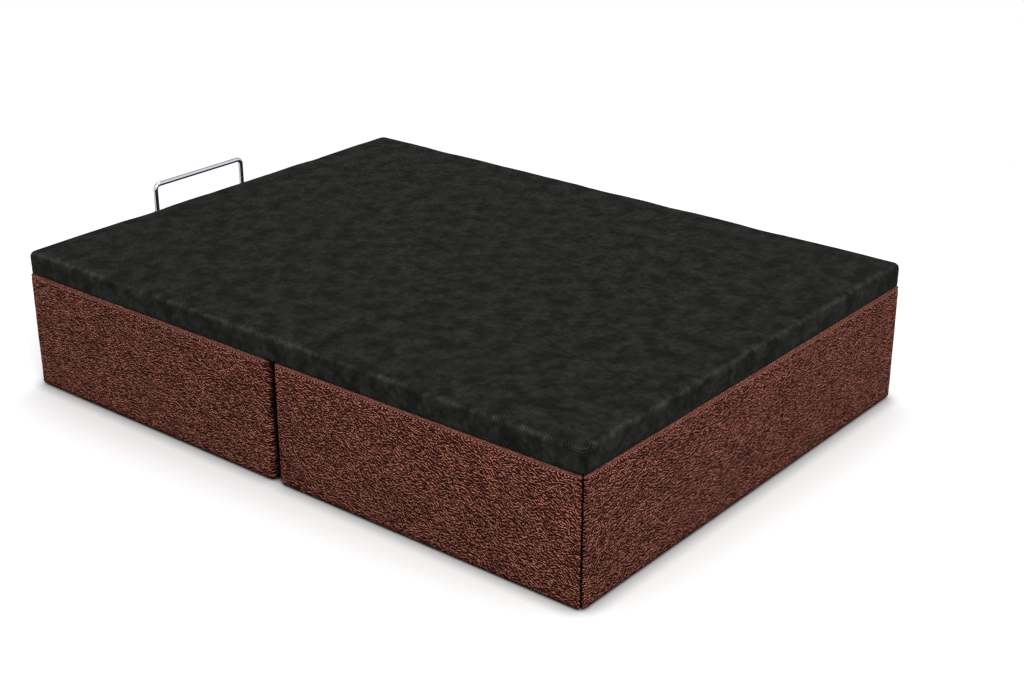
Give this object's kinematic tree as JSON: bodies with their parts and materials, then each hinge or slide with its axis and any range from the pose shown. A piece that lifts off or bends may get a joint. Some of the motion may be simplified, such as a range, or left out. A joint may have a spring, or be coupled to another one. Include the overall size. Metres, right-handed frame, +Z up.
{
  "type": "upholstered storage bed",
  "caption": "Upholstered storage bed base with a fabric-wrapped box, a lift-up lid on folding arms with gas struts, and a bent metal handle bar at the foot.",
  "frame": {"origin": "on the floor under the middle of the whole outline, handle bar included", "axes": "+Z up, +Y towards the head end where the lid is hinged, +X across the bed"},
  "size_m": [1.5, 2.0197, 0.494],
  "materials": {
    "chenille": "reddish-brown chenille, basket weave of plump yarns",
    "mesh_fabric": "black three-dimensional mesh fabric, matt",
    "foam": "open-cell foam sheet",
    "hardboard": "hardboard, smooth side up",
    "plywood": "thin birch plywood",
    "chipboard": "sanded chipboard",
    "pine": "planed pine",
    "chrome_bar": "polished chrome plate",
    "glide_plastic": "black moulded plastic",
    "buffer_rubber": "soft black rubber",
    "zinc_steel": "zinc-plated steel",
    "black_steel": "black powder coat, fine texture",
    "strut_paint": "gloss black paint",
    "bright_rod": "ground and hard-chromed rod",
    "bracket_steel": "grey powder coat"
  },
  "bodies": {
    "root": {"side_cover_head_right": "chenille", "side_board_head_right": "chipboard", "side_cover_head_left": "chenille", "side_board_head_left": "chipboard", "side_cover_foot_right": "chenille", "side_board_foot_right": "chipboard", "side_cover_foot_left": "chenille", "side_board_foot_left": "chipboard", "head_cover": "chenille", "foot_cover": "chenille", "head_board": "chipboard", "foot_board": "chipboard", "corner_angles": "bracket_steel", "joining_strips": "bracket_steel", "side_battens": "pine", "end_battens": "pine", "floor_bearers": "pine", "floor_board_head": "hardboard", "floor_board_foot": "hardboard", "glide_feet": "glide_plastic", "rim_buffers": "buffer_rubber", "base_pins": "zinc_steel", "base_plate_left": "bracket_steel", "strut_base_stud_left": "zinc_steel", "base_plate_right": "bracket_steel", "strut_base_stud_right": "zinc_steel"},
    "lid": {"lid_head_tube": "black_steel", "lid_foot_tube": "black_steel", "lid_side_tube_right": "black_steel", "lid_side_tube_left": "black_steel", "lid_cross_tubes": "black_steel", "lid_board": "plywood", "lid_foam": "foam", "lid_cover": "mesh_fabric", "stop_bar": "chrome_bar", "bar_sockets": "black_steel", "bracket_pins": "zinc_steel", "lid_bracket_left": "bracket_steel", "strut_lid_stud_left": "zinc_steel", "lid_bracket_right": "bracket_steel", "strut_lid_stud_right": "zinc_steel"},
    "arm_left": {"lift_arm_left": "bracket_steel"},
    "link_left": {"rear_link_left": "bracket_steel"},
    "tube_left": {"strut_tube_left": "strut_paint"},
    "rod_left": {"strut_rod_left": "bright_rod"},
    "arm_right": {"lift_arm_right": "bracket_steel"},
    "link_right": {"rear_link_right": "bracket_steel"},
    "tube_right": {"strut_tube_right": "strut_paint"},
    "rod_right": {"strut_rod_right": "bright_rod"}
  },
  "joints": [
    {"name": "lid_tilt", "type": "hinge", "parent": "arm_left", "child": "lid", "pos_m": [-0.7075, 0.90435, 0.275], "axis": [-1, 0, 0], "range_deg": [0, 71.89]},
    {"name": "arm_swing_left", "type": "hinge", "parent": "root", "child": "arm_left", "pos_m": [-0.7075, 0.60985, 0.162], "axis": [1, 0, 0], "range_deg": [0, 31.9]},
    {"name": "link_swing_left", "type": "hinge", "parent": "root", "child": "link_left", "pos_m": [-0.7135, 0.81985, 0.312], "axis": [1, 0, 0], "range_deg": [0, 58.6]},
    {"name": "strut_tube_swing_left", "type": "hinge", "parent": "root", "child": "tube_left", "pos_m": [-0.69, 0.80285, 0.061], "axis": [1, 0, 0], "range_deg": [0, 16.81]},
    {"name": "strut_rod_swing_left", "type": "hinge", "parent": "lid", "child": "rod_left", "pos_m": [-0.69, 0.90085, 0.323], "axis": [1, 0, 0], "range_deg": [0, 56.81]},
    {"name": "arm_swing_right", "type": "hinge", "parent": "root", "child": "arm_right", "pos_m": [0.7075, 0.60985, 0.162], "axis": [1, 0, 0], "range_deg": [0, 31.9]},
    {"name": "link_swing_right", "type": "hinge", "parent": "root", "child": "link_right", "pos_m": [0.7135, 0.81985, 0.312], "axis": [1, 0, 0], "range_deg": [0, 58.6]},
    {"name": "strut_tube_swing_right", "type": "hinge", "parent": "root", "child": "tube_right", "pos_m": [0.69, 0.80285, 0.061], "axis": [1, 0, 0], "range_deg": [0, 16.81]},
    {"name": "strut_rod_swing_right", "type": "hinge", "parent": "lid", "child": "rod_right", "pos_m": [0.69, 0.90085, 0.323], "axis": [1, 0, 0], "range_deg": [0, 56.81]}
  ],
  "couplings": [
    {"joint": "arm_swing_left", "follows": "lid_tilt", "ratio": 0.44358},
    {"joint": "link_swing_left", "follows": "lid_tilt", "ratio": 0.81488},
    {"joint": "strut_tube_swing_left", "follows": "lid_tilt", "ratio": 0.23361},
    {"joint": "strut_rod_swing_left", "follows": "lid_tilt", "ratio": 0.79002},
    {"joint": "arm_swing_right", "follows": "lid_tilt", "ratio": 0.44358},
    {"joint": "link_swing_right", "follows": "lid_tilt", "ratio": 0.81488},
    {"joint": "strut_tube_swing_right", "follows": "lid_tilt", "ratio": 0.23361},
    {"joint": "strut_rod_swing_right", "follows": "lid_tilt", "ratio": 0.79002}
  ]
}
